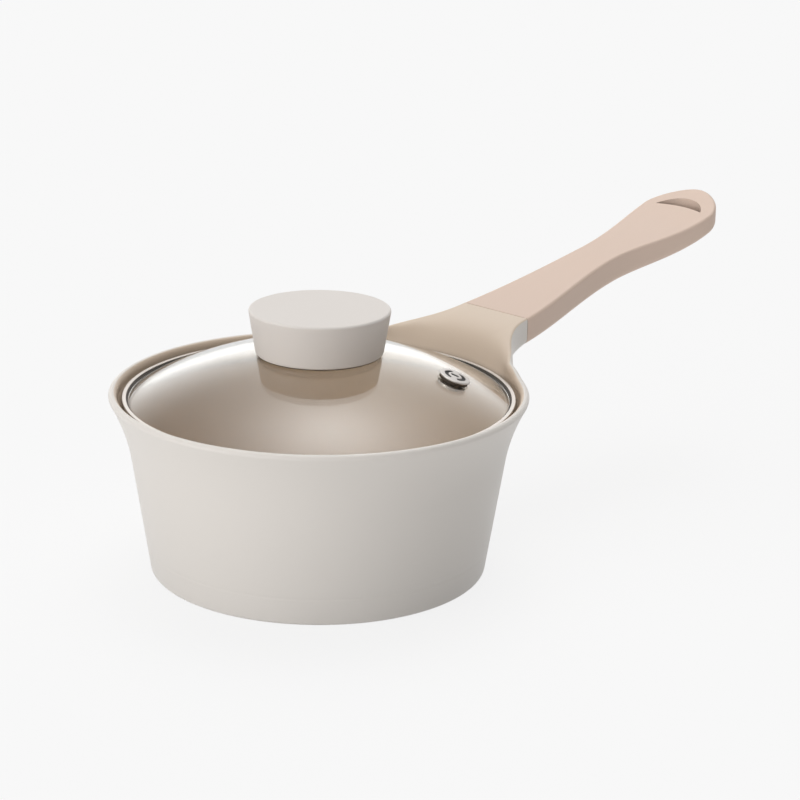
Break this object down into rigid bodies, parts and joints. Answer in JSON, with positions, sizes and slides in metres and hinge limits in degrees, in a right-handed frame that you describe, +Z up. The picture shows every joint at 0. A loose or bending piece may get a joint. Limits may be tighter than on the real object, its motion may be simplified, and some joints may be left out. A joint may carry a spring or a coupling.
{
  "type": "saucepan with glass lid",
  "caption": "Small flared saucepan with a long curved grip and a domed glass lid bound in steel, with a wide round knob and a steam vent. The lid lifts off.",
  "frame": {"origin": "centre of the underside of the base", "axes": "+Z up along the axis of the pan, +X along the handle"},
  "size_m": [0.3391, 0.1716, 0.1188],
  "materials": {
    "cream_coat": "satin",
    "base_steel": "satin",
    "grip_plastic": "matte",
    "knob_plastic": "matte",
    "lid_glass": "polished",
    "band_steel": "polished",
    "fastener_steel": "satin",
    "insert_brass": "satin",
    "dark_seal": "matte"
  },
  "bodies": {
    "pan": {"pan_body": "cream_coat", "induction_plate": "base_steel", "handle_grip": "grip_plastic", "tang_insert": "fastener_steel", "handle_screw": "fastener_steel", "handle_flat_washer": "fastener_steel", "handle_lock_washer": "fastener_steel"},
    "lid": {"lid_glass": "lid_glass", "lid_rim_band": "band_steel", "lid_rim_seal": "dark_seal", "knob_cap": "knob_plastic", "knob_upper_seal": "dark_seal", "knob_insert": "insert_brass", "knob_screw": "fastener_steel", "knob_lock_washer": "fastener_steel", "knob_cup_washer": "fastener_steel", "knob_lower_seal": "dark_seal", "vent_eyelet": "band_steel", "vent_seal": "dark_seal", "vent_collar": "band_steel"}
  },
  "joints": [
    {"name": "lid_lift", "type": "slide", "parent": "pan", "child": "lid", "axis": [0, 0, 1], "range_m": [0, 0.15]}
  ]
}
